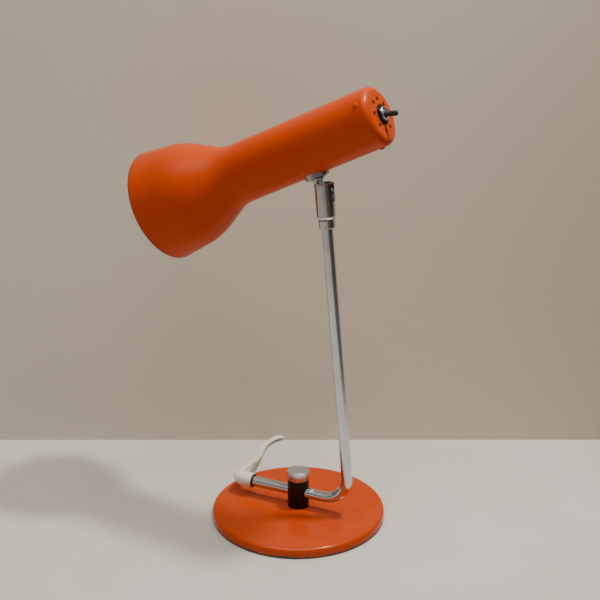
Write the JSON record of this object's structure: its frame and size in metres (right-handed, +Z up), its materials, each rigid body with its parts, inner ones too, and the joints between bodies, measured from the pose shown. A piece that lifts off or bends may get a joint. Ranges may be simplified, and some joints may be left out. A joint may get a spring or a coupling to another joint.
{
  "type": "desk lamp",
  "caption": "Desk lamp with a round weighted foot, clamp post, bent chrome tube, slotted ball joint and a one-piece spun spotlight shade with a toggle switch.",
  "frame": {"origin": "centre of the round foot, on the surface the lamp stands on", "axes": "+Z up; +X along the foot tube from the cord's end to the bend, so the mouth of the shade points to -X at rest"},
  "size_m": [0.2464, 0.3367, 0.3992],
  "materials": {
    "orange_enamel": "gloss",
    "shade_enamel": "gloss outside, white enamel inside",
    "cast_iron": "rough",
    "felt": "felt",
    "zinc_steel": "zinc plated",
    "black_lacquer": "satin",
    "brass": "satin",
    "brass_nickel": "nickel plated",
    "chrome": "polished",
    "dark_steel": "darkened",
    "ivory_plastic": "satin",
    "ivory_flex": "soft gloss",
    "cord_tie": "matte",
    "black_plastic": "satin",
    "nylon": "matte",
    "spring_steel": "satin",
    "bakelite": "gloss",
    "opal_glass": "opal",
    "solder": "satin",
    "inner_flex": "matte"
  },
  "bodies": {
    "base": {"base_plate": "orange_enamel", "ballast_disc": "cast_iron", "felt_pad": "felt", "post_washer": "zinc_steel", "post_bolt": "zinc_steel", "clamp_post": "black_lacquer"},
    "cord_end": {"cord_grip": "ivory_plastic", "mains_cord": "ivory_flex", "cord_tail": "ivory_flex", "cord_coil": "ivory_flex", "cord_tie": "cord_tie", "plug_body": "ivory_plastic", "plug_pins": "brass_nickel", "plug_sleeves": "black_plastic"},
    "arm": {"arm_tube": "chrome", "arm_flex": "inner_flex", "tube_ferrule": "dark_steel", "joint_collar": "chrome"},
    "housing": {"joint_housing": "chrome", "ball_seat": "nylon", "seat_spring": "spring_steel"},
    "stud": {"ball_stud": "chrome"},
    "head": {"shade": "shade_enamel", "rear_cap": "orange_enamel", "cap_screws": "orange_enamel", "flange_washer": "zinc_steel", "holder_bracket": "zinc_steel", "stud_nut": "zinc_steel", "lampholder": "bakelite", "holder_shell": "brass", "holder_nipple": "zinc_steel", "nipple_nut": "zinc_steel", "bulb_glass": "opal_glass", "bulb_cap": "brass_nickel", "bulb_contact": "solder", "switch_body": "bakelite", "switch_bushing": "chrome", "switch_washer": "black_plastic", "switch_nut": "zinc_steel", "switch_terminals": "brass", "head_leads": "inner_flex"},
    "lever": {"toggle_lever": "black_plastic"},
    "pad": {"clamp_pad": "brass"},
    "knob": {"clamp_screw": "zinc_steel", "clamp_knob": "chrome"}
  },
  "joints": [
    {"name": "foot_slide", "type": "slide", "parent": "base", "child": "cord_end", "axis": [1, 0, 0], "range_m": [-0.016, 0.028]},
    {"name": "arm_roll", "type": "hinge", "parent": "cord_end", "child": "arm", "pos_m": [0, 0, 0.0237], "axis": [1, 0, 0], "range_deg": [-60, 60]},
    {"name": "housing_swivel", "type": "hinge", "parent": "arm", "child": "housing", "pos_m": [0.02478, 0, 0.30798], "axis": [-0.0922, 0, 0.9957], "range_deg": [-150, 150]},
    {"name": "shade_tilt", "type": "hinge", "parent": "housing", "child": "stud", "pos_m": [0.02478, 0, 0.30798], "axis": [0, 1, 0], "range_deg": [-4, 100]},
    {"name": "shade_turn", "type": "hinge", "parent": "stud", "child": "head", "pos_m": [0.02478, 0, 0.30798], "axis": [-0.4115, 0, 0.9114], "range_deg": [-90, 90]},
    {"name": "switch_toggle", "type": "hinge", "parent": "head", "child": "lever", "pos_m": [0.07513, 0, 0.37823], "axis": [0, -1, 0], "range_deg": [0, 32]},
    {"name": "pad_lift", "type": "slide", "parent": "base", "child": "pad", "axis": [0, 0, 1], "range_m": [0, 0.00208]},
    {"name": "knob_turn", "type": "hinge", "parent": "pad", "child": "knob", "pos_m": [0, 0, 0.041], "axis": [0, 0, 1], "range_deg": [0, 600]}
  ],
  "couplings": [
    {"joint": "knob_turn", "follows": "pad_lift", "rad_per_m": 5026.5}
  ]
}
